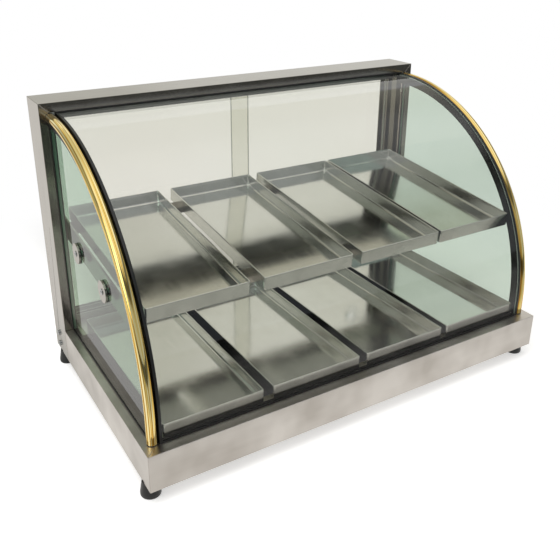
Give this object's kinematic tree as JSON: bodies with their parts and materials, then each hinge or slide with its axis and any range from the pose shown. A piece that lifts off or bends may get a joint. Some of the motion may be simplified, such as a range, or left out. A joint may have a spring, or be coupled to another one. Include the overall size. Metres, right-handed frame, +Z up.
{
  "type": "curved-glass food display showcase",
  "caption": "Countertop food showcase with a bent glass front under two gilt corner arches, two tiers of loose steel trays and sliding glass rear doors.",
  "frame": {"origin": "middle of the box's underside, on the table between the feet", "axes": "+X to the right as the customer sees it, +Y from the customer's side to the server's side, +Z up"},
  "size_m": [0.81, 0.48, 0.516],
  "materials": {
    "satin_steel": "satin-brushed stainless sheet",
    "polished_steel": "polished stainless",
    "tray_steel": "bright-finish stainless sheet",
    "clear_glass": "clear float glass with a green edge",
    "gilt_brass": "polished and lacquered",
    "black_rubber": "moulded black rubber",
    "zinc_steel": "bright zinc plate",
    "track_aluminium": "natural anodised",
    "black_plastic": "moulded black plastic",
    "clear_plastic": "clear moulded acrylic",
    "white_plastic": "moulded white plastic",
    "amber_plastic": "clear amber lens",
    "dark_enamel": "dark heat-proof enamel",
    "sheath_steel": "dull heat-tinted sheath"
  },
  "bodies": {
    "case": {"front_skirt": "satin_steel", "left_skirt": "satin_steel", "right_skirt": "satin_steel", "rear_panel": "satin_steel", "bottom_pan": "dark_enamel", "feet": "black_rubber", "foot_screws": "zinc_steel", "left_upright": "satin_steel", "right_upright": "satin_steel", "top_beam": "satin_steel", "frame_screws": "zinc_steel", "upright_plugs": "white_plastic", "left_jamb": "polished_steel", "right_jamb": "polished_steel", "left_glass": "clear_glass", "right_glass": "clear_glass", "front_glass": "clear_glass", "left_glass_seal": "black_rubber", "right_glass_seal": "black_rubber", "front_glass_seal": "black_rubber", "left_arch_tube": "gilt_brass", "right_arch_tube": "gilt_brass", "arch_end_pads": "black_rubber", "left_shelf_rail": "polished_steel", "right_shelf_rail": "polished_steel", "front_shelf_bar": "polished_steel", "rear_shelf_bar": "polished_steel", "shelf_discs": "polished_steel", "disc_washers": "black_rubber", "rail_washers": "black_rubber", "shelf_screws": "zinc_steel", "shelf_nuts": "zinc_steel", "top_door_track": "track_aluminium", "bottom_door_track": "track_aluminium", "heating_rod": "sheath_steel", "rod_brackets": "zinc_steel", "thermostat": "white_plastic", "thermostat_nut": "zinc_steel", "pilot_bezel": "black_plastic", "pilot_lens": "amber_plastic", "cord_gland": "black_plastic", "gland_nut": "black_plastic"},
    "left_door": {"left_door": "clear_glass", "left_door_ring": "clear_plastic"},
    "right_door": {"right_door": "clear_glass", "right_door_ring": "clear_plastic"},
    "knob": {"thermostat_knob": "black_plastic", "thermostat_shaft": "zinc_steel"},
    "upper_tray_1": {"upper_tray_1": "tray_steel"},
    "lower_tray_1": {"lower_tray_1": "tray_steel"},
    "upper_tray_2": {"upper_tray_2": "tray_steel"},
    "lower_tray_2": {"lower_tray_2": "tray_steel"},
    "upper_tray_3": {"upper_tray_3": "tray_steel"},
    "lower_tray_3": {"lower_tray_3": "tray_steel"},
    "upper_tray_4": {"upper_tray_4": "tray_steel"},
    "lower_tray_4": {"lower_tray_4": "tray_steel"}
  },
  "joints": [
    {"name": "left_door_slide", "type": "slide", "parent": "case", "child": "left_door", "axis": [1, 0, 0], "range_m": [0, 0.368]},
    {"name": "right_door_slide", "type": "slide", "parent": "case", "child": "right_door", "axis": [-1, 0, 0], "range_m": [0, 0.368]},
    {"name": "thermostat_turn", "type": "hinge", "parent": "case", "child": "knob", "pos_m": [-0.25, 0.224, 0.05775], "axis": [0, 1, 0], "range_deg": [0, 300]},
    {"name": "upper_tray_1_slide", "type": "slide", "parent": "case", "child": "upper_tray_1", "axis": [0, 0.9942, 0.108], "range_m": [0, 0.007]},
    {"name": "upper_tray_2_slide", "type": "slide", "parent": "case", "child": "upper_tray_2", "axis": [0, 0.9942, 0.108], "range_m": [0, 0.007]},
    {"name": "upper_tray_3_slide", "type": "slide", "parent": "case", "child": "upper_tray_3", "axis": [0, 0.9942, 0.108], "range_m": [0, 0.007]},
    {"name": "upper_tray_4_slide", "type": "slide", "parent": "case", "child": "upper_tray_4", "axis": [0, 0.9942, 0.108], "range_m": [0, 0.007]},
    {"name": "lower_tray_1_slide", "type": "slide", "parent": "case", "child": "lower_tray_1", "axis": [0, 1, 0], "range_m": [0, 0.014]},
    {"name": "lower_tray_2_slide", "type": "slide", "parent": "case", "child": "lower_tray_2", "axis": [0, 1, 0], "range_m": [0, 0.014]},
    {"name": "lower_tray_3_slide", "type": "slide", "parent": "case", "child": "lower_tray_3", "axis": [0, 1, 0], "range_m": [0, 0.014]},
    {"name": "lower_tray_4_slide", "type": "slide", "parent": "case", "child": "lower_tray_4", "axis": [0, 1, 0], "range_m": [0, 0.014]}
  ]
}
